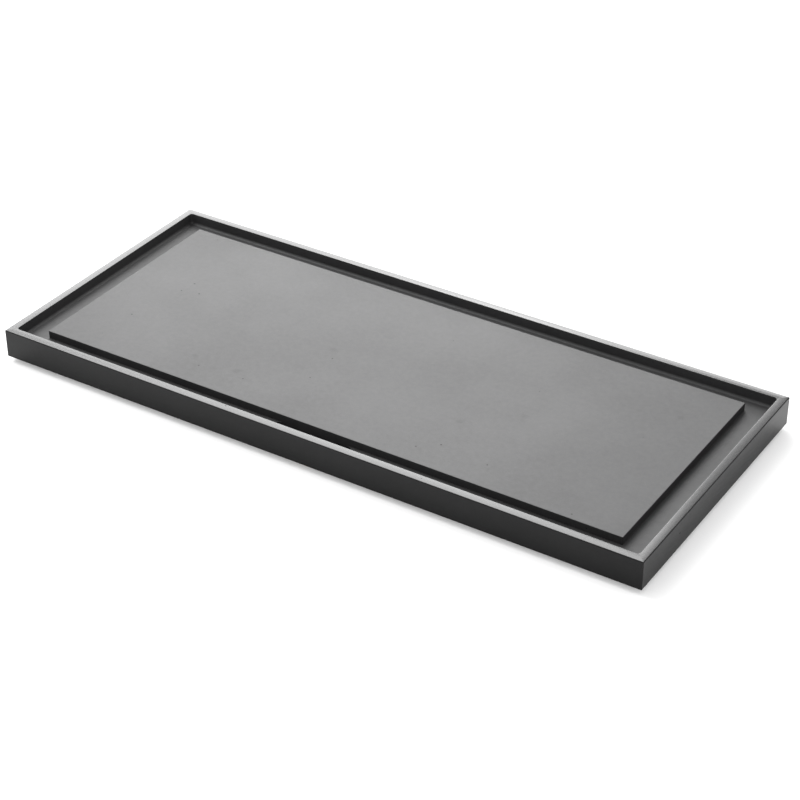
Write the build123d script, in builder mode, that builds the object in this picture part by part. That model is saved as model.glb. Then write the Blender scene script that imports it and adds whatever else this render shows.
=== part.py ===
# Gongfu tea tray: one milled stone slab on rubber feet, with a drain set in the front channel.
# Millimetres, +Z up. The origin is the middle of the footprint, on the table that the feet stand on.
# +X runs along the tray, +Y from the host's side, where the drain is, to the guests' side.

import os

from build123d import *

os.makedirs("parts", exist_ok=True)

# Stone slab
tray_length = 700.0
tray_width = 300.0
slab_thickness = 30.0
rim_width = 8.5
long_channel_width = 18.0
end_channel_width = 24.5
channel_depth = 12.0
deck_drop = 3.8
channel_corner_radius = 3.0
channel_floor_radius = 1.5
rim_edge_radius = 1.2
rim_inner_bevel = 0.4
deck_bevel = 0.5
upright_bevel = 0.8
base_bevel = 1.0

# Sump in the front channel, above the drain
sump_length = 88.0
sump_depth = 4.5

# Recess under the slab for the elbow, and the groove that leads the hose to the back
recess_diameter = 27.0
recess_depth = 7.5
hose_groove_width = 13.0

# Rubber feet: one in each corner and a pair in the middle, beside the hose groove
foot_height = 6.0
foot_seat_depth = 1.0
foot_seat_gap = 0.3
foot_diameter = 24.0
foot_end_inset = 60.0
foot_side_inset = 35.0
mid_foot_spread = 130.0

# Drain tail: a flanged, threaded tube that hangs through the stone
tail_diameter = 12.0
tail_wall = 1.5
tail_flange_diameter = 15.6
tail_flange_thickness = 1.2
tail_flange_bevel = 0.3
tail_hole_gap = 0.4
tail_end_gap = 0.2
key_notch_count = 4
key_notch_width = 2.0
key_notch_depth = 0.8
key_notch_reach = 1.2

# Gaskets above and below the stone
gasket_thickness = 0.8
gasket_gap = 0.3

# Hose elbow, screwed on the tail from below
elbow_diameter = 18.0
elbow_lift = 1.0
elbow_floor = 1.6
elbow_base_bevel = 0.8
thread_gap = 0.05
thread_engagement = 3.0
barb_axis_height = 6.0
barb_length = 17.0
barb_root_diameter = 8.2
barb_crest_diameter = 9.2
barb_bore_diameter = 6.0
barb_teeth = 2
barb_pitch = 5.0
barb_land = 0.8

# Strainer that covers the sump
strainer_height = 2.4
strainer_sheet = 0.8
strainer_gap = 0.5
strainer_edge_bevel = 0.6
strainer_slot_width = 2.4
strainer_slot_length = 10.0
strainer_slot_pitch = 6.0
slots_each_side = 5

# Pull knob, riveted through the strainer
knob_diameter = 7.0
knob_height = 4.0
knob_head_height = 1.6
knob_neck_diameter = 4.4
knob_edge_bevel = 0.4
rivet_diameter = 2.4
rivet_head_diameter = 4.6
rivet_head_height = 0.7
rivet_gap = 0.05

# One overrun for every cut that passes through a face
cut_overrun = 5.0

# Levels
slab_base = foot_height
slab_top = slab_base + slab_thickness
deck_top = slab_top - deck_drop
channel_floor = slab_top - channel_depth
sump_floor = channel_floor - sump_depth
recess_ceiling = slab_base + recess_depth
tail_seat = sump_floor - tail_flange_thickness - gasket_thickness
elbow_top = recess_ceiling - gasket_thickness
tail_end = elbow_top - thread_engagement
strainer_top = sump_floor + strainer_height

# Plan sizes and places that follow from the sizes above
inner_length = tray_length - 2 * rim_width
inner_width = tray_width - 2 * rim_width
deck_length = inner_length - 2 * end_channel_width
deck_width = inner_width - 2 * long_channel_width
drain_y = -(inner_width - long_channel_width) / 2
tail_radius = tail_diameter / 2
tail_bore_radius = tail_radius - tail_wall
foot_reach_x = tray_length / 2 - foot_end_inset
foot_reach_y = tray_width / 2 - foot_side_inset
foot_places = {
    "foot_front_left": (-foot_reach_x, -foot_reach_y),
    "foot_front_right": (foot_reach_x, -foot_reach_y),
    "foot_mid_left": (-mid_foot_spread / 2, 0),
    "foot_mid_right": (mid_foot_spread / 2, 0),
    "foot_back_left": (-foot_reach_x, foot_reach_y),
    "foot_back_right": (foot_reach_x, foot_reach_y),
}


def on_loop(edge, level, half_x, half_y):
    """Edges at one level that lie on the outline of a rectangle of these half sizes."""
    box = edge.bounding_box()
    middle = box.center()
    flat = abs(box.min.Z - level) + abs(box.max.Z - level) < rim_inner_bevel / 2
    slack = channel_corner_radius
    return flat and (abs(middle.X) > half_x - slack or abs(middle.Y) > half_y - slack)


# Stone tray, milled from one block
with BuildPart() as stone_tray:
    with BuildSketch(Plane.XY.offset(slab_base)):
        Rectangle(tray_length, tray_width)
    extrude(amount=slab_thickness)
    chamfer(stone_tray.edges().filter_by(Axis.Z), upright_bevel)

    # channel all round the deck
    with BuildSketch(Plane.XY.offset(slab_top)):
        RectangleRounded(inner_length, inner_width, channel_corner_radius)
        Rectangle(deck_length, deck_width, mode=Mode.SUBTRACT)
    extrude(amount=-channel_depth, mode=Mode.SUBTRACT)

    # deck, a little below the rim
    with BuildSketch(Plane.XY.offset(slab_top)):
        Rectangle(deck_length, deck_width)
    extrude(amount=-deck_drop, mode=Mode.SUBTRACT)

    # eased edges
    channel_feet = [
        edge for edge in stone_tray.edges()
        if on_loop(edge, channel_floor, inner_length / 2, inner_width / 2)
    ]
    fillet(channel_feet, channel_floor_radius)
    rim_faces = stone_tray.faces().filter_by(Axis.Z).group_by(Axis.Z)[-1]
    fillet(rim_faces[0].outer_wire().edges(), rim_edge_radius)
    rim_faces = stone_tray.faces().filter_by(Axis.Z).group_by(Axis.Z)[-1]
    chamfer(rim_faces[0].inner_wires()[0].edges(), rim_inner_bevel)
    deck_faces = stone_tray.faces().filter_by(Axis.Z).filter_by_position(Axis.Z, deck_top, deck_top)
    chamfer(deck_faces.edges(), deck_bevel)
    base_faces = stone_tray.faces().filter_by(Axis.Z).group_by(Axis.Z)[0]
    chamfer(base_faces.edges(), base_bevel)

    # sump, cut from above so that it clears the rounded foot of the wall
    with BuildSketch(Plane.XY.offset(slab_top)):
        with Locations((0, drain_y)):
            SlotOverall(sump_length, long_channel_width)
    extrude(amount=-(channel_depth + sump_depth), mode=Mode.SUBTRACT)

    # drain hole with a seat that sinks the flange flush with the sump
    with Locations((0, drain_y, sump_floor)):
        CounterBoreHole(
            radius=tail_radius + tail_hole_gap,
            counter_bore_radius=tail_flange_diameter / 2 + gasket_gap,
            counter_bore_depth=tail_flange_thickness + gasket_thickness,
            depth=sump_floor - slab_base + cut_overrun,
        )

    # recess for the elbow, and the hose groove to the back edge
    with BuildSketch(Plane.XY.offset(slab_base)):
        with Locations((0, drain_y)):
            Circle(recess_diameter / 2)
            Rectangle(
                hose_groove_width,
                tray_width / 2 - drain_y + cut_overrun,
                align=(Align.CENTER, Align.MIN),
            )
    extrude(amount=recess_depth, mode=Mode.SUBTRACT)

    # shallow seats for the feet
    with BuildSketch(Plane.XY.offset(slab_base)):
        with Locations(*foot_places.values()):
            Circle(foot_diameter / 2 + foot_seat_gap)
    extrude(amount=foot_seat_depth, mode=Mode.SUBTRACT)

stone_tray.part.label = "stone_tray"
export_step(stone_tray.part, "parts/stone_tray.step")

# Rubber feet, round pads bonded into the seats
for foot_name, foot_place in foot_places.items():
    with BuildPart() as foot:
        with BuildSketch():
            with Locations(foot_place):
                Circle(foot_diameter / 2)
        extrude(amount=foot_height + foot_seat_depth)
    foot.part.label = foot_name
    export_step(foot.part, "parts/" + foot_name + ".step")

# Drain tail, a flanged tube with notches for the key that turns it
with BuildPart() as drain_tail:
    with Locations((0, drain_y, tail_end)):
        Cylinder(
            tail_radius,
            sump_floor - tail_end,
            align=(Align.CENTER, Align.CENTER, Align.MIN),
        )
    with Locations((0, drain_y, sump_floor)):
        Cylinder(
            tail_flange_diameter / 2,
            tail_flange_thickness,
            align=(Align.CENTER, Align.CENTER, Align.MAX),
        )
    chamfer(drain_tail.edges().group_by(Axis.Z)[-1], tail_flange_bevel)
    with Locations((0, drain_y, sump_floor)):
        Hole(tail_bore_radius)
    with BuildSketch(Plane.XY.offset(sump_floor)):
        with Locations((0, drain_y)):
            with PolarLocations(tail_bore_radius, key_notch_count):
                Rectangle(2 * key_notch_reach, key_notch_width)
    extrude(amount=-key_notch_depth, mode=Mode.SUBTRACT)
drain_tail.part.label = "drain_tail"
export_step(drain_tail.part, "parts/drain_tail.step")

# Gaskets: the upper one seals the flange, the lower one the elbow
with BuildPart() as upper_gasket:
    with BuildSketch(Plane.XY.offset(tail_seat)):
        with Locations((0, drain_y)):
            Circle(tail_flange_diameter / 2)
            Circle(tail_radius + gasket_gap, mode=Mode.SUBTRACT)
    extrude(amount=gasket_thickness)
upper_gasket.part.label = "upper_gasket"
export_step(upper_gasket.part, "parts/upper_gasket.step")

with BuildPart() as lower_gasket:
    with BuildSketch(Plane.XY.offset(elbow_top)):
        with Locations((0, drain_y)):
            Circle(elbow_diameter / 2)
            Circle(tail_radius + gasket_gap, mode=Mode.SUBTRACT)
    extrude(amount=gasket_thickness)
lower_gasket.part.label = "lower_gasket"
export_step(lower_gasket.part, "parts/lower_gasket.step")

# Hose elbow: a low round body with a threaded mouth on top and a barbed spigot to the back
barb_start = drain_y + elbow_diameter / 2
first_tooth = barb_length - barb_teeth * barb_pitch
barb_plane = Plane((0, barb_start, barb_axis_height), x_dir=(0, 1, 0), z_dir=(1, 0, 0))
with BuildPart() as drain_elbow:
    with Locations((0, drain_y, elbow_lift)):
        Cylinder(
            elbow_diameter / 2,
            elbow_top - elbow_lift,
            align=(Align.CENTER, Align.CENTER, Align.MIN),
        )
    chamfer(drain_elbow.edges().group_by(Axis.Z)[0], elbow_base_bevel)
    with BuildSketch(barb_plane):
        with BuildLine():
            outline = [(-elbow_diameter / 2, 0), (-elbow_diameter / 2, barb_root_diameter / 2)]
            for tooth in range(barb_teeth):
                tooth_start = first_tooth + tooth * barb_pitch
                outline.append((tooth_start, barb_root_diameter / 2))
                outline.append((tooth_start, barb_crest_diameter / 2))
                outline.append((tooth_start + barb_land, barb_crest_diameter / 2))
            outline.append((barb_length, barb_root_diameter / 2))
            outline.append((barb_length, 0))
            Polyline(*outline, close=True)
        make_face()
    revolve(axis=Axis(barb_plane.origin, (0, 1, 0)))
    with BuildSketch(barb_plane):
        with Locations((-elbow_diameter / 2, 0)):
            Rectangle(
                elbow_diameter / 2 + barb_length + cut_overrun,
                barb_bore_diameter / 2,
                align=(Align.MIN, Align.MIN),
            )
    revolve(axis=Axis(barb_plane.origin, (0, 1, 0)), mode=Mode.SUBTRACT)
    with Locations((0, drain_y, elbow_lift + elbow_floor)):
        Cylinder(
            tail_bore_radius,
            elbow_top - elbow_lift - elbow_floor,
            align=(Align.CENTER, Align.CENTER, Align.MIN),
            mode=Mode.SUBTRACT,
        )
    with Locations((0, drain_y, tail_end - tail_end_gap)):
        Cylinder(
            tail_radius + thread_gap,
            thread_engagement + tail_end_gap + cut_overrun,
            align=(Align.CENTER, Align.CENTER, Align.MIN),
            mode=Mode.SUBTRACT,
        )
drain_elbow.part.label = "drain_elbow"
export_step(drain_elbow.part, "parts/drain_elbow.step")

# Strainer: a pressed lid with a turned-down skirt and slots on both sides of the knob
strainer_length = sump_length - 2 * strainer_gap
strainer_width = long_channel_width - 2 * strainer_gap
slot_reach = strainer_slot_pitch * (slots_each_side + 1) / 2
with BuildPart() as drain_strainer:
    with BuildSketch(Plane.XY.offset(sump_floor)):
        with Locations((0, drain_y)):
            SlotOverall(strainer_length, strainer_width)
    extrude(amount=strainer_height)
    chamfer(drain_strainer.edges().group_by(Axis.Z)[-1], strainer_edge_bevel)
    with BuildSketch(Plane.XY.offset(sump_floor)):
        with Locations((0, drain_y)):
            SlotOverall(strainer_length - 2 * strainer_sheet, strainer_width - 2 * strainer_sheet)
    extrude(amount=strainer_height - strainer_sheet, mode=Mode.SUBTRACT)
    with BuildSketch(Plane.XY.offset(strainer_top)):
        with Locations((-slot_reach, drain_y), (slot_reach, drain_y)):
            with GridLocations(strainer_slot_pitch, 0, slots_each_side, 1):
                SlotOverall(strainer_slot_length, strainer_slot_width, rotation=90)
        with Locations((0, drain_y)):
            Circle(rivet_diameter / 2 + rivet_gap)
    extrude(amount=-strainer_height, mode=Mode.SUBTRACT)
drain_strainer.part.label = "drain_strainer"
export_step(drain_strainer.part, "parts/drain_strainer.step")

# Pull knob: turned head and neck on top, rivet through the sheet and its closed head below
sheet_bottom = strainer_top - strainer_sheet
knob_plane = Plane((0, drain_y, 0), x_dir=(1, 0, 0), z_dir=(0, -1, 0))
with BuildPart() as strainer_knob:
    with BuildSketch(knob_plane):
        with BuildLine():
            Polyline(
                (0, sheet_bottom - rivet_head_height),
                (rivet_head_diameter / 2, sheet_bottom - rivet_head_height),
                (rivet_head_diameter / 2, sheet_bottom),
                (rivet_diameter / 2, sheet_bottom),
                (rivet_diameter / 2, strainer_top),
                (knob_neck_diameter / 2, strainer_top),
                (knob_neck_diameter / 2, strainer_top + knob_height - knob_head_height),
                (knob_diameter / 2, strainer_top + knob_height - knob_head_height),
                (knob_diameter / 2, strainer_top + knob_height),
                (0, strainer_top + knob_height),
                close=True,
            )
        make_face()
    revolve(axis=Axis(knob_plane.origin, (0, 0, 1)))
    chamfer(strainer_knob.edges().group_by(Axis.Z)[-1], knob_edge_bevel)
strainer_knob.part.label = "strainer_knob"
export_step(strainer_knob.part, "parts/strainer_knob.step")
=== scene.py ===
import math

import bmesh
import bpy
import numpy as np
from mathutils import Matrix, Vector


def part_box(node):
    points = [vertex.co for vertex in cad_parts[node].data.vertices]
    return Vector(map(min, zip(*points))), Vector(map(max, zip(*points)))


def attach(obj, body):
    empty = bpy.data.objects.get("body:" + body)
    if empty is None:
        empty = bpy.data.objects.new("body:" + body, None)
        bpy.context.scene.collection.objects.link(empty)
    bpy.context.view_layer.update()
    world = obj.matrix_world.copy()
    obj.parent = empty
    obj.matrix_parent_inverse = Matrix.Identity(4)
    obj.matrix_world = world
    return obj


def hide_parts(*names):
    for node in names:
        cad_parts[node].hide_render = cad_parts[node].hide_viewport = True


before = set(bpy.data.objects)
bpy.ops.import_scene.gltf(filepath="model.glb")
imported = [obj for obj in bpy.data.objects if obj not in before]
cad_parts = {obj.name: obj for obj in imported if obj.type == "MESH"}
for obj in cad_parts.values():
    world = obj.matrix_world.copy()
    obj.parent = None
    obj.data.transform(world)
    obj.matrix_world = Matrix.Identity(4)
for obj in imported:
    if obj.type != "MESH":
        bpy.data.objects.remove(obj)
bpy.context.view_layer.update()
print("stage: frame loaded,", len(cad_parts), "nodes")


# A CAD node's lowest and highest corners, rounded to a tenth of a millimetre because the facets of a round
# face fall a little short of it
def nodeBox(node):
    return [np.round(np.array(corner, float), 4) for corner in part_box(node)]


# A new object, linked to the scene
def addObject(name, data):
    made = bpy.data.objects.new(name, data)
    bpy.context.scene.collection.objects.link(made)
    return made


# Camera at the photograph's viewing angle
cameraView = {
    "place": (0.93476, -1.44828, 1.11720),  # metres
    "turn": (56.9092, 0.1132, 32.4590),  # degrees
    "lens": 95.660,  # mm
    "filmWidth": 36.0,  # mm
    "shiftRight": 0.00363,  # shares of the image's width
    "shiftUp": -0.00083,
    "farthest": 60.0,  # metres
}
cameraData = bpy.data.cameras.new("trayCamera")
cameraData.sensor_fit = "HORIZONTAL"
cameraData.sensor_width = cameraView["filmWidth"]
cameraData.lens = cameraView["lens"]
cameraData.shift_x = cameraView["shiftRight"]
cameraData.shift_y = cameraView["shiftUp"]
cameraData.clip_end = cameraView["farthest"]
camera = addObject("trayCamera", cameraData)
camera.location = cameraView["place"]
camera.rotation_euler = [math.radians(angle) for angle in cameraView["turn"]]
bpy.context.scene.camera = camera
bpy.context.scene.view_settings.view_transform = "Standard"


# Each input of a node is set to a value or linked from a socket
def feed(tree, node, inputs):
    for key, value in inputs.items():
        if isinstance(value, bpy.types.NodeSocket):
            tree.links.new(value, node.inputs[key])
        else:
            node.inputs[key].default_value = value


# A shader node with its settings and inputs
def addNode(tree, kind, inputs=None, **settings):
    node = tree.nodes.new("ShaderNode" + kind)
    for key, value in settings.items():
        setattr(node, key, value)
    feed(tree, node, inputs or {})
    return node


# One Math node
def calc(tree, operation, first, second, clamp=False):
    return addNode(tree, "Math", {0: first, 1: second}, operation=operation, use_clamp=clamp).outputs[0]


# The empty node tree of a world or a material
def clearedTree(owner):
    owner.use_nodes = True
    owner.node_tree.nodes.clear()
    return owner.node_tree


# Studio: a soft box low behind the tray and one over its left end, a pale floor and an even sky
softBoxes = {
    "backBox": {
        "azimuth": -30.7, "elevation": 17.3, "distance": 1.5,  # degrees from +Y to +X, degrees, metres
        "wide": 1.63, "high": 0.90, "glow": 5.2,
    },
    "leftBox": {
        "azimuth": -63.0, "elevation": 53.0, "distance": 2.0,
        "wide": 2.80, "high": 1.35, "glow": 6.6,
    },
}
studio = {
    "floorHalf": 6.0,  # metres
    "floorColour": (0.92, 0.92, 0.92, 1),
    "floorRoughness": 0.9,
    "floorOwnLight": 0.2,  # share of the floor that the camera sees as plain white
    "skyFill": 1.22,  # strength of the sky's light on the scene
    "plainWhite": 1.0,  # strength of the sky where it is seen, and of the floor's own light
    "white": (1, 1, 1, 1),
}


# A panel that faces the tray's middle: place = distance * (sin az cos el, cos az cos el, sin el), and
# power = glow * pi * area gives its face that brightness
def addSoftBox(name, box):
    azimuth, elevation = math.radians(box["azimuth"]), math.radians(box["elevation"])
    panel = bpy.data.lights.new(name, "AREA")
    panel.shape = "RECTANGLE"
    panel.size, panel.size_y = box["wide"], box["high"]
    panel.energy = box["glow"] * math.pi * box["wide"] * box["high"]
    holder = addObject(name, panel)
    holder.location = Vector((
        math.sin(azimuth) * math.cos(elevation),
        math.cos(azimuth) * math.cos(elevation),
        math.sin(elevation),
    )) * box["distance"]
    holder.rotation_euler = (-holder.location).to_track_quat("-Z", "Y").to_euler()


# 1 for camera, glossy and transmission rays, which see the studio as white, and 0 for the rest
def seeingRays(tree):
    path = addNode(tree, "LightPath").outputs
    cameraOrGlossy = calc(tree, "MAXIMUM", path["Is Camera Ray"], path["Is Glossy Ray"])
    return calc(tree, "MAXIMUM", cameraOrGlossy, path["Is Transmission Ray"])


for boxName, softBox in softBoxes.items():
    addSoftBox(boxName, softBox)

world = bpy.data.worlds.new("studioSky")
bpy.context.scene.world = world
sky = clearedTree(world)
skyFill = addNode(sky, "Background", {"Color": studio["white"], "Strength": studio["skyFill"]})
skyWhite = addNode(sky, "Background", {"Color": studio["white"], "Strength": studio["plainWhite"]})
skyMix = addNode(sky, "MixShader", {0: seeingRays(sky), 1: skyFill.outputs[0], 2: skyWhite.outputs[0]})
addNode(sky, "OutputWorld", {"Surface": skyMix.outputs[0]})

half = studio["floorHalf"]
floorCorners = [(-half, -half, 0), (half, -half, 0), (half, half, 0), (-half, half, 0)]
floorMesh = bpy.data.meshes.new("studioFloor")
floorMesh.from_pydata(floorCorners, [], [(0, 1, 2, 3)])
studioFloor = addObject("studioFloor", floorMesh)
floorPaint = bpy.data.materials.new("floorPaint")
paint = clearedTree(floorPaint)
floorMatt = addNode(paint, "BsdfDiffuse", {
    "Color": studio["floorColour"], "Roughness": studio["floorRoughness"],
})
floorGlow = addNode(paint, "Emission", {"Color": studio["white"], "Strength": studio["plainWhite"]})
floorSeen = addNode(paint, "LightPath").outputs["Is Camera Ray"]
floorShare = calc(paint, "MULTIPLY", floorSeen, studio["floorOwnLight"])
floorMix = addNode(paint, "MixShader", {0: floorShare, 1: floorMatt.outputs[0], 2: floorGlow.outputs[0]})
addNode(paint, "OutputMaterial", {"Surface": floorMix.outputs[0]})
floorMesh.materials.append(floorPaint)
print("stage: camera, lights and floor")

# What all the meshes share
making = {
    "mergeWithin": 1e-7,  # metres between points that become one
    "sharpFrom": 28,  # degrees between faces that keep a sharp edge
    "hub": 0.0002,  # metres, radius of the small flat face that shuts a turned section at its axis
}


# Points of a round edge: centre + radius * (cos a, sin a), with a from start to end in degrees
def arc(centre, radius, start, end, steps):
    angle = np.radians(np.linspace(start, end, steps + 1))
    return np.stack([centre[0] + radius * np.cos(angle), centre[1] + radius * np.sin(angle)], 1)


# A round outline: radius * (cos u, sin u)
def disc(radius, sides):
    u = np.linspace(0, 2 * math.pi, sides, endpoint=False)
    return radius * np.stack([np.cos(u), np.sin(u)], 1)


# Rounded rectangles, one a row: (+-(halfLength - r), +-(halfWidth - r)) + r * (cos a, sin a), where a turns
# a quarter in steps at each corner. Equal halfWidth and r give a slot with round ends.
def roundedLoops(halfLength, halfWidth, radius, steps):
    sizes = (halfLength, halfWidth, radius)
    halfLength, halfWidth, radius = (np.asarray(size, float).reshape(-1, 1) for size in sizes)
    quarter = np.linspace(0, math.pi / 2, steps + 1)
    angle = (np.arange(4)[:, None] * math.pi / 2 + quarter).reshape(1, -1)
    signX = np.repeat([1, -1, -1, 1], steps + 1)[None]
    signY = np.repeat([1, 1, -1, -1], steps + 1)[None]
    x = signX * (halfLength - radius) + radius * np.cos(angle)
    y = signY * (halfWidth - radius) + radius * np.sin(angle)
    return np.stack([x, y], -1)


# Loops (x, y), each lifted to its own level z
def levelled(loops, levels):
    z = np.broadcast_to(np.asarray(levels, float)[:, None, None], loops.shape[:2] + (1,))
    return np.concatenate([loops, z], -1)


# Rings of a turned piece: (r cos u, r sin u, z), a row for each r and z, with u round the axis
def rings(radii, levels, u):
    return np.stack(np.broadcast_arrays(radii * np.cos(u), radii * np.sin(u), levels), -1)


# A half section of points (r, z) turned round the axis, with evenly spaced u
def turned(section, sides):
    section = np.asarray(section, float)
    return rings(section[:, :1], section[:, 1:], np.linspace(0, 2 * math.pi, sides, endpoint=False))


# A half section that starts and ends on the small hub, which a flat face then shuts
def hubbed(section):
    section = np.asarray(section, float)
    return np.vstack([[(making["hub"], section[0, 1])], section, [(making["hub"], section[-1, 1])]])


# A shape moved from the axis to a place (x, y)
def upright(points, place):
    return points + np.array([*place, 0.0])


# Points that lie together become one, and every face points outwards
def tidyMesh(piece):
    shape = bmesh.new()
    shape.from_mesh(piece.data)
    bmesh.ops.remove_doubles(shape, verts=shape.verts, dist=making["mergeWithin"])
    bmesh.ops.recalc_face_normals(shape, faces=shape.faces)
    shape.to_mesh(piece.data)
    shape.free()


# A closed surface over a grid of points: quad (i, j) joins rows i and i + 1 and columns j and j + 1.
# Columns always close on themselves; rows do where the piece is a ring, and elsewhere a flat face shuts the
# first and the last row.
def addPiece(name, grid, ringed=False):
    rows, columns = grid.shape[:2]
    i = np.arange(rows if ringed else rows - 1)[:, None]
    j = np.arange(columns)[None]
    nextRow, nextColumn = (i + 1) % rows, (j + 1) % columns
    quads = np.stack([
        i * columns + j,
        i * columns + nextColumn,
        nextRow * columns + nextColumn,
        nextRow * columns + j,
    ], -1)
    faces = quads.reshape(-1, 4).tolist()
    if not ringed:
        faces += [list(range(columns)), list(range((rows - 1) * columns, rows * columns))]
    mesh = bpy.data.meshes.new(name)
    mesh.from_pydata(grid.reshape(-1, 3).tolist(), [], faces)
    piece = addObject(name, mesh)
    tidyMesh(piece)
    return piece


# An upright block: one outline (x, y), or one for each level, carried through the levels z
def prism(outline, levels, place):
    loops = np.broadcast_to(outline, (len(levels),) + np.shape(outline)[-2:])
    return addPiece("block", levelled(loops + np.asarray(place), levels))


# Separate closed shapes in one mesh, as one cutting tool
def joined(pieces):
    shape = bmesh.new()
    for piece in pieces:
        shape.from_mesh(piece.data)
        bpy.data.objects.remove(piece)
    mesh = bpy.data.meshes.new("tool")
    shape.to_mesh(mesh)
    shape.free()
    return addObject("tool", mesh)


# Each tool is cut from the piece or joined to it, and the result becomes the piece's own mesh
def combine(piece, tools, operation="DIFFERENCE"):
    for tool in tools:
        cut = piece.modifiers.new("cut", "BOOLEAN")
        cut.operation, cut.solver, cut.object = operation, "EXACT", tool
    result = bpy.data.meshes.new_from_object(piece.evaluated_get(bpy.context.evaluated_depsgraph_get()))
    piece.modifiers.clear()
    piece.data = result
    result.name = piece.name
    for tool in tools:
        bpy.data.objects.remove(tool)


# Smooth shading with sharp edges, the finish, the body that the piece rides on and the node it stands for
def dress(piece, body, material, node):
    mesh = piece.data
    mesh.polygons.foreach_set("use_smooth", np.ones(len(mesh.polygons), bool))
    mesh.set_sharp_from_angle(angle=math.radians(making["sharpFrom"]))
    weighted = piece.modifiers.new("flatFaceNormals", "WEIGHTED_NORMAL")
    weighted.keep_sharp = True
    mesh.materials.clear()
    mesh.materials.append(material)
    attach(piece, body)
    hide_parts(node)


# A node group with named sockets: inputs are (name, kind, value) and outputs (name, kind)
def newGroup(name, inputs, outputs):
    group = bpy.data.node_groups.new(name, "ShaderNodeTree")
    for socketName, kind, value in inputs:
        socket = group.interface.new_socket(name=socketName, in_out="INPUT", socket_type="NodeSocket" + kind)
        socket.default_value = value
    for socketName, kind in outputs:
        group.interface.new_socket(name=socketName, in_out="OUTPUT", socket_type="NodeSocket" + kind)
    return group, group.nodes.new("NodeGroupInput").outputs, group.nodes.new("NodeGroupOutput").inputs


# The group placed in a material, with its own values
def useGroup(tree, group, values):
    placed = tree.nodes.new("ShaderNodeGroup")
    placed.node_tree = group
    feed(tree, placed, values)
    return placed.outputs


# The sum of value * share over the pairs
def weightedSum(tree, *pairs):
    total = 0.0
    for value, share in pairs:
        total = addNode(tree, "Math", {0: value, 1: share, 2: total}, operation="MULTIPLY_ADD").outputs[0]
    return total


# A value from low to high, spread over another range and held at its ends
def spread(tree, value, low, high, toLow=0.0, toHigh=1.0):
    ends = {"Value": value, "From Min": low, "From Max": high, "To Min": toLow, "To Max": toHigh}
    return addNode(tree, "MapRange", ends).outputs[0]


# A colour ramp with its stops (place, colour)
def ramp(tree, value, stops):
    node = addNode(tree, "ValToRGB", {"Fac": value})
    band = node.color_ramp
    while len(band.elements) < len(stops):
        band.elements.new(position=0.5)
    for element, (place, colour) in zip(band.elements, stops):
        element.position = place
        element.color = (*colour, 1)
    return node.outputs["Color"]


# The normal of a fine relief: strength is a share and depth is in metres
def reliefNormal(tree, height, strength, depth):
    return addNode(tree, "Bump", {"Strength": strength, "Distance": depth, "Height": height}).outputs[0]


# An empty node material with its shader and output
def newMaterial(name):
    material = bpy.data.materials.new(name)
    tree = clearedTree(material)
    shader = addNode(tree, "BsdfPrincipled")
    addNode(tree, "OutputMaterial", {"Surface": shader.outputs[0]})
    return material, tree, shader


# Shared effect: a mask of the edges, 1 - rounded normal . flat normal, spread over the reach. On rubber and
# metal it marks worn edges; on the stone it carries a painted highlight along the arrises
edgeGroup, edgeIn, edgeOut = newGroup(
    "wornEdgesAndPaintedHighlights",
    [("Radius", "Float", 0.001), ("Reach", "Float", 0.1)],
    [("Mask", "Float")],
)
roundNormal = addNode(edgeGroup, "Bevel", {"Radius": edgeIn["Radius"]}, samples=6).outputs[0]
flatNormal = addNode(edgeGroup, "NewGeometry").outputs["Normal"]
likeness = addNode(edgeGroup, "VectorMath", {0: roundNormal, 1: flatNormal}, operation="DOT_PRODUCT")
lean = calc(edgeGroup, "SUBTRACT", 1.0, likeness.outputs["Value"])
edgeGroup.links.new(spread(edgeGroup, lean, 0.0, edgeIn["Reach"]), edgeOut["Mask"])

# Shared effect: grain of any size and stretch, as a broad and a fine value round a half
grainMake = {"broadRoughness": 0.55, "finer": 5.3, "fineDetail": 2.0}
grainGroup, grainIn, grainOut = newGroup(
    "fineGrain",
    [("Scale", "Float", 100.0), ("Stretch", "Vector", (1, 1, 1)), ("Detail", "Float", 4.0)],
    [("Broad", "Float"), ("Fine", "Float")],
)
grainPlace = addNode(grainGroup, "TexCoord").outputs["Object"]
grainMap = addNode(grainGroup, "VectorMath", {0: grainPlace, 1: grainIn["Stretch"]},
                   operation="MULTIPLY").outputs[0]
broadGrain = addNode(grainGroup, "TexNoise", {
    "Vector": grainMap, "Scale": grainIn["Scale"], "Detail": grainIn["Detail"],
    "Roughness": grainMake["broadRoughness"],
})
fineGrain = addNode(grainGroup, "TexNoise", {
    "Vector": grainMap, "Scale": calc(grainGroup, "MULTIPLY", grainIn["Scale"], grainMake["finer"]),
    "Detail": grainMake["fineDetail"],
})
grainGroup.links.new(broadGrain.outputs["Fac"], grainOut["Broad"])
grainGroup.links.new(fineGrain.outputs["Fac"], grainOut["Fine"])

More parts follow.
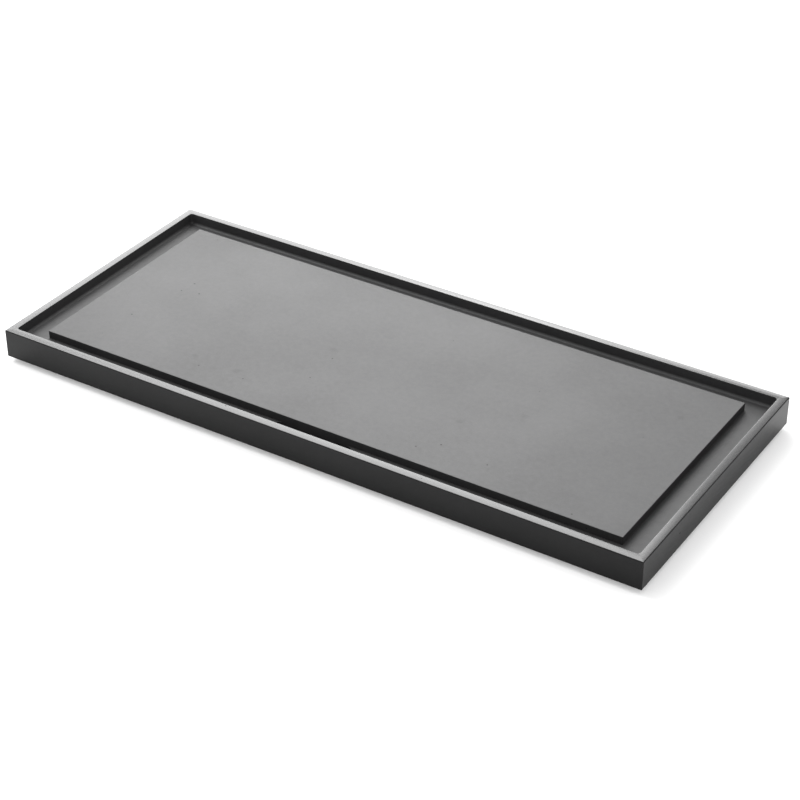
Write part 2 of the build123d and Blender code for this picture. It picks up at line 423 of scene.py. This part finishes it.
# Honed black stone of the top; the outer walls are less glossy, and their darker colour is painted shade
trayLow, trayHigh = nodeBox("stone_tray")
stoneLook = {
    "dark": (0.009, 0.009, 0.0092), "light": (0.025, 0.025, 0.0256), "toneRange": (0.30, 0.80),
    "cloudScale": 9.0, "cloudDetail": 5.0, "cloudRoughness": 0.6, "cloudShare": 0.55,
    "grainScale": 190.0, "grainDetail": 3.0, "grainShare": 0.3,
    # edgeShare lightens the stone's arrises in its colour: a painted highlight
    "edgeRadius": 0.0007, "edgeReach": 0.12, "edgeShare": 0.25,
    "rimRoughness": 0.22, "deckRoughness": 0.58, "channelRoughness": 0.60, "wallRoughness": 0.55,
    "byTone": 0.03,  # roughness gained in the darkest stone and lost in the lightest
    "rimDepth": 0.0008, "deckDepth": 0.0050,  # metres below the slab's top where their finish ends
    "levelBlur": 0.0004,  # metres over and under such a level in which the finish changes
    "wallNormal": 0.5, "topNormal": 0.8,  # the normal's z where a face counts as wall and as top
    "reliefStrength": 0.10, "reliefDepth": 0.00005, "rimRelief": 0.12,
    "specular": 0.47, "ior": 1.5,
}
# The walls' darker colours are painted shade: a shaded copy of the top's stone colours
outerShadedLook = {
    **stoneLook, "dark": (0.002, 0.002, 0.00205), "light": (0.007, 0.007, 0.0072),
    "wallRoughness": 0.32, "specular": 0.145,
}
pits = {
    "scale": 60.0, "reach": (0.035, 0.065), "chosen": (0.70, 0.74),
    "channel": "Red", "tone": -0.4, "roughness": 0.35, "relief": -2.0,
}
blemishes = {
    "scale": 26.0, "reach": (0.12, 0.20), "chosen": (0.55, 0.75),
    "raggedScale": 160.0, "raggedDetail": 3.0, "raggedShare": 0.16, "channel": "Green", "roughness": 0.05,
}


# Spots in a few chosen cells of a Voronoi pattern: 1 in their middles, fading to 0 over the reach. One
# channel of the cell's colour chooses it, and ragged is added to the distance from its middle.
def cellSpots(tree, place, make, ragged=0.0):
    cells = addNode(tree, "TexVoronoi", {"Vector": place, "Scale": make["scale"]}, feature="F1").outputs
    far = calc(tree, "ADD", cells["Distance"], ragged)
    colour = addNode(tree, "SeparateColor", {"Color": cells["Color"]}).outputs[make["channel"]]
    return calc(tree, "MULTIPLY", spread(tree, far, *make["reach"], 1.0, 0.0),
                spread(tree, colour, *make["chosen"]))


# 1 from a depth below the slab's top upwards and 0 under it, changing over the blur
def above(tree, height, depth, blur):
    level = trayHigh[2] - depth
    return spread(tree, height, level - blur, level + blur)


# Roughness by place: rim, deck and channel by their levels, and walls where the face leans over
def stoneRoughness(tree, height, onRim, look):
    facingUp = addNode(tree, "SeparateXYZ", {0: addNode(tree, "NewGeometry").outputs["Normal"]}).outputs["Z"]
    onDeck = above(tree, height, look["deckDepth"], look["levelBlur"])
    byDeck = spread(tree, onDeck, 0.0, 1.0, look["channelRoughness"], look["deckRoughness"])
    byRim = weightedSum(tree, (byDeck, 1.0), (onRim, look["rimRoughness"] - look["deckRoughness"]))
    onTop = spread(tree, facingUp, look["wallNormal"], look["topNormal"])
    return spread(tree, onTop, 0.0, 1.0, look["wallRoughness"], byRim)


# Honed stone: soft clouds, crystal grain, small pits, wide faint blemishes, a smoother rim, and arrises made
# lighter by a painted highlight
def stoneMaterial(name, look):
    material, tree, shader = newMaterial(name)
    place = addNode(tree, "TexCoord").outputs["Object"]
    cloud = addNode(tree, "TexNoise", {
        "Vector": place, "Scale": look["cloudScale"], "Detail": look["cloudDetail"],
        "Roughness": look["cloudRoughness"],
    }).outputs["Fac"]
    grain = useGroup(tree, grainGroup, {"Scale": look["grainScale"], "Detail": look["grainDetail"]})
    edge = useGroup(tree, edgeGroup, {"Radius": look["edgeRadius"], "Reach": look["edgeReach"]})["Mask"]
    pit = cellSpots(tree, place, pits)
    ragged = addNode(tree, "TexNoise", {
        "Vector": place, "Scale": blemishes["raggedScale"], "Detail": blemishes["raggedDetail"],
    }).outputs["Fac"]
    blemish = cellSpots(tree, place, blemishes, calc(tree, "MULTIPLY", ragged, blemishes["raggedShare"]))
    # The edge mask in the tone is a painted highlight along the stone's arrises
    tone = weightedSum(tree, (cloud, look["cloudShare"]), (grain["Broad"], look["grainShare"]),
                       (grain["Fine"], look["grainShare"]), (pit, pits["tone"]), (edge, look["edgeShare"]))
    darkest, lightest = look["toneRange"]
    height = addNode(tree, "SeparateXYZ", {0: place}).outputs["Z"]
    onRim = above(tree, height, look["rimDepth"], look["levelBlur"])
    byPlace = stoneRoughness(tree, height, onRim, look)
    byTone = spread(tree, tone, darkest, lightest, look["byTone"], -look["byTone"])
    evenRoughness = weightedSum(tree, (byPlace, 1.0), (byTone, 1.0), (blemish, blemishes["roughness"]))
    pitRoughness = calc(tree, "MULTIPLY", pit, pits["roughness"])
    relief = weightedSum(tree, (grain["Fine"], 1.0), (grain["Broad"], 1.0), (pit, pits["relief"]))
    relief = calc(tree, "MULTIPLY", relief, spread(tree, onRim, 0.0, 1.0, 1.0, look["rimRelief"]))
    feed(tree, shader, {
        "Base Color": ramp(tree, tone, [(darkest, look["dark"]), (lightest, look["light"])]),
        "Roughness": calc(tree, "ADD", evenRoughness, pitRoughness, clamp=True),
        "Normal": reliefNormal(tree, relief, look["reliefStrength"], look["reliefDepth"]),
        "IOR": look["ior"],
        "Specular IOR Level": look["specular"],
    })
    return material


# Rubber and silicone
mouldedLook = {
    "toneRange": (0.3, 0.8), "fineRange": (0.3, 0.7),
    "edgeRadius": 0.0006, "edgeReach": 0.2, "edgeShare": 0.2,
    "reliefStrength": 0.3, "reliefDepth": 0.00005,
}
rubberLook = {
    **mouldedLook, "scale": 260.0,
    "dark": (0.012, 0.012, 0.012), "light": (0.034, 0.034, 0.035), "roughness": (0.70, 0.86),
}
siliconeLook = {
    **mouldedLook, "scale": 500.0,
    "dark": (0.60, 0.60, 0.56), "light": (0.76, 0.76, 0.72), "roughness": (0.40, 0.55),
}


# Moulded rubber or silicone: a faint cloudiness, fine matt grain and slightly rubbed edges
def mouldedMaterial(name, look):
    material, tree, shader = newMaterial(name)
    grain = useGroup(tree, grainGroup, {"Scale": look["scale"]})
    edge = useGroup(tree, edgeGroup, {"Radius": look["edgeRadius"], "Reach": look["edgeReach"]})["Mask"]
    tone = weightedSum(tree, (grain["Broad"], 1.0), (edge, look["edgeShare"]))
    darkest, lightest = look["toneRange"]
    feed(tree, shader, {
        "Base Color": ramp(tree, tone, [(darkest, look["dark"]), (lightest, look["light"])]),
        "Roughness": spread(tree, grain["Fine"], *look["fineRange"], *look["roughness"]),
        "Normal": reliefNormal(tree, grain["Fine"], look["reliefStrength"], look["reliefDepth"]),
    })
    return material


# Brass, turned round the Z axis, and steel, brushed along X
metalLook = {
    "grainDetail": 3.0, "grainShare": 0.5, "stainScale": 90.0, "stainDetail": 4.0, "stainShare": 0.5,
    "edgeReach": 0.15, "edgeShare": 0.3, "toneRange": (0.3, 0.8),
    "fineRelief": 0.3, "reliefStrength": 0.5, "metallic": 1.0,
}
brassLook = {
    **metalLook, "scale": 420.0, "stretch": (0.6, 0.6, 14.0), "roughness": (0.24, 0.42),
    "edgeRadius": 0.0004, "reliefDepth": 0.00001,
    "stops": [(0.25, (0.36, 0.22, 0.075)), (0.50, (0.66, 0.47, 0.20)), (0.80, (0.84, 0.66, 0.36))],
}
steelLook = {
    **metalLook, "scale": 1500.0, "stretch": (0.03, 1.0, 1.0), "roughness": (0.44, 0.60),
    "edgeRadius": 0.0003, "reliefDepth": 0.000006,
    "stops": [(0.25, (0.055, 0.055, 0.057)), (0.55, (0.105, 0.105, 0.108)), (0.85, (0.22, 0.22, 0.222))],
}


# Turned or brushed metal: grain drawn out one way in colour, gloss and relief, and brighter worn edges
def metalMaterial(name, look):
    material, tree, shader = newMaterial(name)
    grain = useGroup(tree, grainGroup, {
        "Scale": look["scale"], "Stretch": look["stretch"], "Detail": look["grainDetail"],
    })
    stain = useGroup(tree, grainGroup, {"Scale": look["stainScale"], "Detail": look["stainDetail"]})["Broad"]
    edge = useGroup(tree, edgeGroup, {"Radius": look["edgeRadius"], "Reach": look["edgeReach"]})["Mask"]
    tone = weightedSum(tree, (grain["Broad"], look["grainShare"]), (stain, look["stainShare"]),
                       (edge, look["edgeShare"]))
    smoothest, roughest = look["roughness"]
    relief = weightedSum(tree, (grain["Broad"], 1.0), (grain["Fine"], look["fineRelief"]))
    feed(tree, shader, {
        "Base Color": ramp(tree, tone, look["stops"]),
        "Roughness": spread(tree, tone, *look["toneRange"], roughest, smoothest),
        "Normal": reliefNormal(tree, relief, look["reliefStrength"], look["reliefDepth"]),
        "Metallic": look["metallic"],
    })
    return material


honedStone = stoneMaterial("honedStone", stoneLook)
shadedWallStone = stoneMaterial("shadedWallStone", outerShadedLook)
footRubber = mouldedMaterial("footRubber", rubberLook)
gasketSilicone = mouldedMaterial("gasketSilicone", siliconeLook)
turnedBrass = metalMaterial("turnedBrass", brassLook)
brushedSteel = metalMaterial("brushedSteel", steelLook)
print("stage: materials")

# Stone slab: deck, moat, rim, outer walls and base, as one profile carried round rounded rectangles
slab = {
    "halfLength": trayHigh[0], "halfWidth": trayHigh[1], "base": trayLow[2], "top": trayHigh[2],
    "rimWidth": 0.0085, "endMoat": 0.0245, "longMoat": 0.018, "moatDepth": 0.012, "deckDrop": 0.0038,
    "rimFall": 0.00042, "rimCrest": 0.3,  # metres, and a share of the rim's width from its inner edge
    # radii of the rounded edges and of the fillet at the foot of the moat's outer wall
    "rimInnerEdge": 0.0004, "rimEdge": 0.0011, "baseEdge": 0.001, "deckEdge": 0.0005, "moatFoot": 0.0030,
    # radii of the corners seen from above
    "deckCorner": 0.0006, "moatCorner": 0.003, "outerCorner": 0.0008, "leastCorner": 0.00008,
    "edgeSteps": 5, "footSteps": 6, "innerEdgeSteps": 4, "rimSteps": 10, "rimEdgeSteps": 8, "cornerSteps": 8,
    "shadedWallBelow": 0.965,  # outer faces with a smaller normal z than this get the walls' stone, darkened with painted shade
}
innerLength, innerWidth = slab["halfLength"] - slab["rimWidth"], slab["halfWidth"] - slab["rimWidth"]
moatFloor = slab["top"] - slab["moatDepth"]


# Rows (half length, half width, corner radius, level): each point (offset, level) of a profile is carried
# round the rectangle of its half sizes, grown by the offset
def around(profile, halfLength, halfWidth, corner):
    offset, level = np.asarray(profile).T
    radius = np.maximum(corner + offset, slab["leastCorner"])
    return np.stack([halfLength + offset, halfWidth + offset, radius, level], 1)


# Rows from the deck out and down to the base. The rim is slightly rounded: with t from 0 at its inner edge
# to 1 at its outer edge, level = top - fall * (t - crest)^2.
def slabRows(size):
    deckTop = size["top"] - size["deckDrop"]
    deckEdge = arc((-size["deckEdge"], deckTop - size["deckEdge"]), size["deckEdge"], 90, 0,
                   size["edgeSteps"])
    deck = np.vstack([deckEdge, [(0, moatFloor)]])
    foot = arc((-size["moatFoot"], moatFloor + size["moatFoot"]), size["moatFoot"], -90, 0, size["footSteps"])
    t = np.linspace(0, 1, size["rimSteps"] + 1)
    crown = size["top"] - size["rimFall"] * (t - size["rimCrest"]) ** 2
    innerEdge = arc((size["rimInnerEdge"], crown[0] - size["rimInnerEdge"]), size["rimInnerEdge"], 180, 90,
                    size["innerEdgeSteps"])
    run = size["rimWidth"] - size["rimInnerEdge"] - size["rimEdge"]
    rim = np.stack([t * run - run - size["rimEdge"], crown], 1)[1:]
    slope = math.degrees(math.atan(2 * size["rimFall"] * (1 - size["rimCrest"]) / run))
    outerEdge = arc((-size["rimEdge"], crown[-1] - size["rimEdge"]), size["rimEdge"], 90 - slope, 0,
                    size["rimEdgeSteps"])
    baseEdge = arc((-size["baseEdge"], size["base"] + size["baseEdge"]), size["baseEdge"], 0, -90,
                   size["edgeSteps"])
    return np.vstack([
        around(deck, innerLength - size["endMoat"], innerWidth - size["longMoat"], size["deckCorner"]),
        around(np.vstack([foot, innerEdge]), innerLength, innerWidth, size["moatCorner"]),
        around(np.vstack([rim, outerEdge[1:], baseEdge]), size["halfLength"], size["halfWidth"],
               size["outerCorner"]),
    ])


rows = slabRows(slab)
loops = roundedLoops(rows[:, 0], rows[:, 1], rows[:, 2], slab["cornerSteps"])
milledSlab = addPiece("milledSlab", levelled(loops, rows[:, 3]))

# Hollows cut from the slab: sump, gasket seat, drain hole, elbow recess, hose groove and seats of the feet
lidLow, lidHigh = nodeBox("drain_strainer")
drain = {
    "place": (lidLow[:2] + lidHigh[:2]) / 2, "sumpFloor": lidLow[2],
    "sumpHalfLength": 0.044, "sumpHalfWidth": 0.009, "sumpSteps": 16,
    "seatRadius": 0.0081, "seatLevel": 0.0175, "holeRadius": 0.0064,
    "recessRadius": 0.0135, "recessCeiling": 0.0135,
    "grooveHalf": 0.0065, "grooveCorner": 0.0004, "grooveSteps": 2,
    "footSeatRadius": 0.0123, "footSeatLevel": 0.007,
    "overrun": 0.003,  # how far a tool passes the face that it opens
    "overlap": 0.0001,  # how far it passes into a hollow that is open already
    "hair": 0.00001,  # the sump's tool is this much wider than the moat, so that no faces lie in one plane
    "sides": 64,
}
footPlaces = {}
for row in ("front", "mid", "back"):
    for side in ("left", "right"):
        footLow, footHigh = nodeBox(f"foot_{row}_{side}")
        footPlaces[row, side] = (footLow[:2] + footHigh[:2]) / 2


# A round cutting tool
def drill(radius, low, high, place):
    return prism(disc(radius, drain["sides"]), [low, high], place)


below = slab["base"] - drain["overrun"]
sumpOutline = roundedLoops(drain["sumpHalfLength"], drain["sumpHalfWidth"] + drain["hair"],
                           drain["sumpHalfWidth"], drain["sumpSteps"])
sumpTop = moatFloor + slab["moatFoot"] + drain["overlap"]
grooveLength = slab["halfWidth"] - drain["place"][1] + drain["overrun"]
grooveOutline = roundedLoops(drain["grooveHalf"], grooveLength / 2, drain["grooveCorner"],
                             drain["grooveSteps"])
holeLow = drain["recessCeiling"] - drain["overrun"]
combine(milledSlab, [
    prism(sumpOutline, [drain["sumpFloor"], sumpTop], drain["place"]),
    drill(drain["seatRadius"], drain["seatLevel"], drain["sumpFloor"] + drain["overrun"], drain["place"]),
    drill(drain["holeRadius"], holeLow, drain["seatLevel"] + drain["overlap"], drain["place"]),
    drill(drain["recessRadius"], below, drain["recessCeiling"], drain["place"]),
    prism(grooveOutline, [below, drain["recessCeiling"]], drain["place"] + [0, grooveLength / 2]),
    joined([
        drill(drain["footSeatRadius"], below, drain["footSeatLevel"], place)
        for place in footPlaces.values()
    ]),
])
dress(milledSlab, "tray", honedStone, "stone_tray")

# The outer walls and the rim's outer edge have the walls' stone: less glossy, and darker in colour with
# painted shade
milledSlab.data.materials.append(shadedWallStone)
slabFaces = milledSlab.data.polygons
centres, normals = np.empty((len(slabFaces), 3)), np.empty((len(slabFaces), 3))
slabFaces.foreach_get("center", centres.ravel())
slabFaces.foreach_get("normal", normals.ravel())
edgeStart = np.array([innerLength, innerWidth]) + slab["rimEdge"]
shadedWallFaces = (np.abs(centres[:, :2]) > edgeStart).any(1) & (normals[:, 2] < slab["shadedWallBelow"])
slabFaces.foreach_set("material_index", shadedWallFaces.astype(np.int32))
print("stage: stone slab,", len(slabFaces), "faces")

# Rubber feet: six equal round pads with an eased edge and two grip grooves in the sole
foot = {
    "radius": (footHigh[0] - footLow[0]) / 2, "height": footHigh[2], "soleEdge": 0.0012, "topEdge": 0.0003,
    "grooves": (0.0045, 0.0080), "grooveHalf": 0.0005, "grooveDepth": 0.0006,
    "soleSteps": 6, "topSteps": 3, "sides": 72,
}


# Half section (r, z) of a pad, from the middle of its sole out and up to the middle of its top
def footSection(size):
    radius, soleEdge, topEdge = size["radius"], size["soleEdge"], size["topEdge"]
    half, deep = size["grooveHalf"], size["grooveDepth"]
    grooves = [
        (middle + side * half, depth)
        for middle in size["grooves"]
        for side, depth in ((-1, 0), (-1, deep), (1, deep), (1, 0))
    ]
    return np.vstack([
        grooves,
        arc((radius - soleEdge, soleEdge), soleEdge, -90, 0, size["soleSteps"]),
        arc((radius - topEdge, size["height"] - topEdge), topEdge, 0, 90, size["topSteps"]),
    ])


for (row, side), place in footPlaces.items():
    pad = addPiece(f"gripFoot{row.capitalize()}{side.capitalize()}",
                   upright(turned(hubbed(footSection(foot)), foot["sides"]), place))
    dress(pad, "tray", footRubber, f"foot_{row}_{side}")
print("stage: feet")

# Drain tail: a flanged tube with key notches above and a real thread below. All drain pieces stand on X = 0,
# so the highest x of each one's box is half its size along X.
tailLow, tailHigh = nodeBox("drain_tail")
tail = {
    "radius": 0.006, "bore": 0.0045, "top": tailHigh[2], "end": tailLow[2], "endEdge": 0.0003,
    "flangeRadius": tailHigh[0], "flangeUnder": 0.0183, "flangeEdge": 0.0003, "flangeSteps": 4,
    "threadTop": 0.0168, "threadDepth": 0.00045, "pitch": 0.001, "stepsPerPitch": 8,
    "notches": 4, "firstNotch": math.pi / 4, "notchHalf": 0.001, "notchReach": 0.0057, "notchDepth": 0.0008,
    "notchWall": 0.002,  # radians that a notch's side takes up
    "sides": 96,
}


# A ring of rows (r, z) up the bore, over the flange and down the thread. In a notch the rows of the top face
# drop by its depth. On the thread r = radius - depth * |2 f - 1|, f the fraction of z / pitch - u / 2 pi.
def tailSurface(size):
    radius, bore, top, end = size["radius"], size["bore"], size["top"], size["end"]
    endEdge, flangeEdge, flangeRadius = size["endEdge"], size["flangeEdge"], size["flangeRadius"]
    root = radius - size["threadDepth"]
    aboveThread = np.vstack([
        [(bore + endEdge, end), (bore, end + endEdge), (bore, top - size["notchDepth"])],
        [(bore, top), (size["notchReach"], top), (size["notchReach"], top)],
        arc((flangeRadius - flangeEdge, top - flangeEdge), flangeEdge, 90, 0, size["flangeSteps"]),
        [(flangeRadius, size["flangeUnder"]), (root, size["flangeUnder"]), (root, size["threadTop"])],
    ])
    notchedRows = slice(3, 5)  # the top face from the bore to the notches' reach
    half = math.asin(size["notchHalf"] / ((bore + size["notchReach"]) / 2))
    middles = np.arange(size["notches"]) * 2 * math.pi / size["notches"] + size["firstNotch"]
    wall = size["notchWall"]
    notchSides = (middles[:, None] + np.array([-half - wall, -half, half, half + wall])).ravel()
    u = np.sort(np.concatenate([np.linspace(0, 2 * math.pi, size["sides"], endpoint=False), notchSides]))
    inNotch = (np.abs(u[:, None] - middles) < half + wall / 2).any(1)
    upperLevels = np.repeat(aboveThread[:, 1:], len(u), 1)
    upperLevels[notchedRows, inNotch] -= size["notchDepth"]
    turns = (size["threadTop"] - end - endEdge) / size["pitch"]
    threadRows = round(turns * size["stepsPerPitch"]) + 1
    threadLevels = np.linspace(size["threadTop"], end + endEdge, threadRows)[:, None]
    fraction = (threadLevels / size["pitch"] - u / (2 * math.pi)) % 1
    thread = radius - size["threadDepth"] * np.abs(2 * fraction - 1)
    radii = np.vstack([np.repeat(aboveThread[:, :1], len(u), 1), thread, np.full((1, len(u)), root)])
    levels = np.vstack([upperLevels, np.repeat(threadLevels, len(u), 1), np.full((1, len(u)), end)])
    return rings(radii, levels, u)


threadedTail = addPiece("threadedTail", upright(tailSurface(tail), drain["place"]), ringed=True)
dress(threadedTail, "tray", turnedBrass, "drain_tail")

# Gaskets: flat rings with softened edges
gasketNodes = {"flangeGasket": "upper_gasket", "elbowGasket": "lower_gasket"}
gasketCut = {"hole": 0.0063, "edge": 0.00025, "steps": 4, "sides": 64}


# Section (r, z) of a ring between its hole and its outer radius, and between its lower and upper levels
def gasketSection(size, outer, low, high):
    loop = roundedLoops((outer - size["hole"]) / 2, (high - low) / 2, size["edge"], size["steps"])[0]
    return loop + [(outer + size["hole"]) / 2, (high + low) / 2]


for gasketName, gasketNode in gasketNodes.items():
    gasketLow, gasketHigh = nodeBox(gasketNode)
    section = gasketSection(gasketCut, gasketHigh[0], gasketLow[2], gasketHigh[2])
    gasket = addPiece(gasketName, upright(turned(section, gasketCut["sides"]), drain["place"]), ringed=True)
    dress(gasket, "tray", gasketSilicone, gasketNode)
print("stage: drain tail and gaskets")

# Hose elbow: a low cup with a turned groove, and a barbed spigot to the back
elbowLow, elbowHigh = nodeBox("drain_elbow")
elbow = {
    "radius": elbowHigh[0], "low": elbowLow[2], "high": elbowHigh[2], "lowEdge": 0.0008, "highEdge": 0.0003,
    "lowSteps": 4, "highSteps": 3, "grooveLevel": 0.0112, "grooveHalf": 0.0003, "grooveDepth": 0.00035,
    "mouth": 0.00605, "mouthFloor": 0.0095, "chamber": 0.0045, "chamberFloor": 0.0026, "sides": 72,
}
spigot = {
    "start": drain["place"][1] + elbow["radius"], "tip": elbowHigh[1], "level": 0.006,
    "root": 0.0041, "bore": 0.003, "tipEdge": 0.0003, "tipSteps": 3,
    "barbs": (0.007, 0.012), "barbCrest": 0.0046, "barbFace": 0.0001, "barbLand": 0.0008,
    "inside": 0.002,  # how far it runs into the cup's wall
    "boreOverrun": 0.001,  # how far the bore's tool passes the tip, and how near it comes to the cup's axis
}


# Half section (r, z) of the cup: under the base, up the wall with its groove, over the rim and down inside
def elbowSection(size):
    radius, high, mouth = size["radius"], size["high"], size["mouth"]
    lowEdge, highEdge = size["lowEdge"], size["highEdge"]
    groove, half, waist = size["grooveLevel"], size["grooveHalf"], radius - size["grooveDepth"]
    return np.vstack([
        arc((radius - lowEdge, size["low"] + lowEdge), lowEdge, -90, 0, size["lowSteps"]),
        [(radius, groove - half), (waist, groove - half / 2)],
        [(waist, groove + half / 2), (radius, groove + half)],
        arc((radius - highEdge, high - highEdge), highEdge, 0, 90, size["highSteps"]),
        [(mouth + highEdge, high), (mouth, high - highEdge), (mouth, size["mouthFloor"])],
        [(size["chamber"], size["mouthFloor"]), (size["chamber"], size["chamberFloor"])],
    ])


# Half section (r, s) along the spigot: from inside the wall, over each barb, to the tip
def spigotSection(size):
    root, crest, tipEdge = size["root"], size["barbCrest"], size["tipEdge"]
    length = size["tip"] - size["start"]
    barbs = [
        point for s in size["barbs"]
        for point in ((root, s), (crest, s + size["barbFace"]), (crest, s + size["barbLand"]))
    ]
    tip = arc((root - tipEdge, length - tipEdge), tipEdge, 0, 90, size["tipSteps"])
    return np.vstack([[(root, -size["inside"])], barbs, tip])


# A turned shape laid along Y from the spigot's start: its own (x, y, z) becomes (x, start + z, level + y)
def alongY(points, size):
    return np.stack([points[..., 0], size["start"] + points[..., 2], size["level"] + points[..., 1]], -1)


cupPoints = turned(hubbed(elbowSection(elbow)), elbow["sides"])
hoseElbow = addPiece("hoseElbow", upright(cupPoints, drain["place"]))
spigotPoints = turned(hubbed(spigotSection(spigot)), elbow["sides"])
barbedSpigot = addPiece("spigot", alongY(spigotPoints, spigot))
combine(hoseElbow, [barbedSpigot], "UNION")
boreEnds = [
    (spigot["bore"], spigot["boreOverrun"] - elbow["radius"]),
    (spigot["bore"], spigot["tip"] - spigot["start"] + spigot["boreOverrun"]),
]
boreTool = addPiece("boreTool", alongY(turned(hubbed(boreEnds), elbow["sides"]), spigot))
combine(hoseElbow, [boreTool])
dress(hoseElbow, "tray", turnedBrass, "drain_elbow")
print("stage: elbow")

# Strainer: a pressed lid with round shoulders and eased slots on both sides of the knob
lid = {
    "halfLength": lidHigh[0], "halfWidth": (lidHigh[1] - lidLow[1]) / 2, "low": lidLow[2], "high": lidHigh[2],
    "sheet": 0.0008, "shoulder": 0.0009, "innerShoulder": 0.0003, "skirtEdge": 0.00015,
    "shoulderSteps": 6, "innerSteps": 4, "skirtSteps": 3, "cornerSteps": 12,
    "slotHalfWidth": 0.0012, "slotHalfLength": 0.005, "slotPitch": 0.006, "slotMiddle": 0.018,
    "slotsEachSide": 5, "slotSteps": 6,
    "slotFlare": (0.00025, 0, 0, 0),  # how much wider the slots' tool is at each of its levels
    "toolLevels": (0.0001, -0.0002, -0.0006, -0.0012),  # metres over the lid's top
    "rivetHole": 0.00125, "rivetSides": 32,
}


# Rows (offset from the outline, level): the ceiling inside, down the skirt, round its foot and up outside
def lidRows(size):
    shoulder, inner, edge = size["shoulder"], size["innerShoulder"], size["skirtEdge"]
    sheet, low, high = size["sheet"], size["low"], size["high"]
    return np.vstack([
        arc((-sheet - inner, high - sheet - inner), inner, 90, 0, size["innerSteps"]),
        arc((-sheet + edge, low + edge), edge, 180, 270, size["skirtSteps"]),
        arc((-edge, low + edge), edge, -90, 0, size["skirtSteps"]),
        arc((-shoulder, high - shoulder), shoulder, 0, 90, size["shoulderSteps"]),
    ])


# Tools for the slots, at even pitch on both sides of the knob, and for the rivet's hole
def lidTools(size):
    flare, levels = np.array(size["slotFlare"]), size["high"] + np.array(size["toolLevels"])
    halfWidth, halfLength = size["slotHalfWidth"] + flare, size["slotHalfLength"] + flare
    slot = roundedLoops(halfWidth, halfLength, halfWidth, size["slotSteps"])
    across = (np.arange(size["slotsEachSide"]) - (size["slotsEachSide"] - 1) / 2) * size["slotPitch"]
    x = np.concatenate([across - size["slotMiddle"], across + size["slotMiddle"]])
    slots = [prism(slot, levels, drain["place"] + [shift, 0]) for shift in x]
    rivet = prism(disc(size["rivetHole"], size["rivetSides"]), levels[[0, -1]], drain["place"])
    return joined([*slots, rivet])


offset, level = lidRows(lid).T
loops = roundedLoops(lid["halfLength"] + offset, lid["halfWidth"] + offset, lid["halfWidth"] + offset,
                     lid["cornerSteps"])
strainerLid = addPiece("strainerLid", upright(levelled(loops, level), drain["place"]))
combine(strainerLid, [lidTools(lid)])
dress(strainerLid, "strainer", brushedSteel, "drain_strainer")

# Pull knob: turned, with a waist, a fine knurl round its head and the rivet through the lid
knobLow, knobHigh = nodeBox("strainer_knob")
knob = {
    "rivetRadius": 0.0023, "rivetLow": knobLow[2], "rivetEdge": 0.0003, "shank": 0.0012,
    "footRadius": 0.0022, "footHeight": 0.0003, "waist": 0.0018, "waistLevel": 0.0233, "waistFlare": 0.0002,
    "headRadius": knobHigh[0], "headUnder": 0.0243, "top": knobHigh[2], "headEdge": 0.0004, "edgeSteps": 4,
    "dish": 0.00025, "dishPoints": ((0.55, 0.8), (0.25, 1.0)),  # shares of the head's radius and of the dish
    "knurls": 36, "knurlDepth": 0.00012, "sidesPerKnurl": 4,
    "sameRadius": 1e-6,  # rows this near to the head's radius have the knurl
}


# Rows (r, z) from the rivet's head up to the knob's top. On the head's rim r falls by a knurl's
# depth * (1 - cos(n u)) / 2, for n knurls.
def knobSurface(size):
    top, radius, steps = size["top"], size["headRadius"], size["edgeSteps"]
    headEdge, rivetEdge = size["headEdge"], size["rivetEdge"]
    sheetTop, sheetUnder = lid["high"], lid["high"] - lid["sheet"]
    section = hubbed(np.vstack([
        arc((size["rivetRadius"] - rivetEdge, size["rivetLow"] + rivetEdge), rivetEdge, -90, 0, steps),
        [(size["rivetRadius"], sheetUnder), (size["shank"], sheetUnder), (size["shank"], sheetTop)],
        [(size["footRadius"], sheetTop), (size["footRadius"], sheetTop + size["footHeight"])],
        [(size["waist"], size["waistLevel"]), (size["waist"] + size["waistFlare"], size["headUnder"])],
        arc((radius - headEdge, size["headUnder"] + headEdge), headEdge, -90, 0, steps),
        arc((radius - headEdge, top - headEdge), headEdge, 0, 90, steps),
        [(radius * out, top - size["dish"] * down) for out, down in size["dishPoints"]],
    ]))
    u = np.linspace(0, 2 * math.pi, size["knurls"] * size["sidesPerKnurl"], endpoint=False)
    onRim = np.abs(section[:, :1] - radius) < size["sameRadius"]
    radii = section[:, :1] - onRim * size["knurlDepth"] * (1 - np.cos(size["knurls"] * u)) / 2
    return rings(radii, section[:, 1:], u)


pullKnob = addPiece("pullKnob", upright(knobSurface(knob), drain["place"]))
dress(pullKnob, "strainer", brushedSteel, "strainer_knob")
print("stage: strainer and knob")
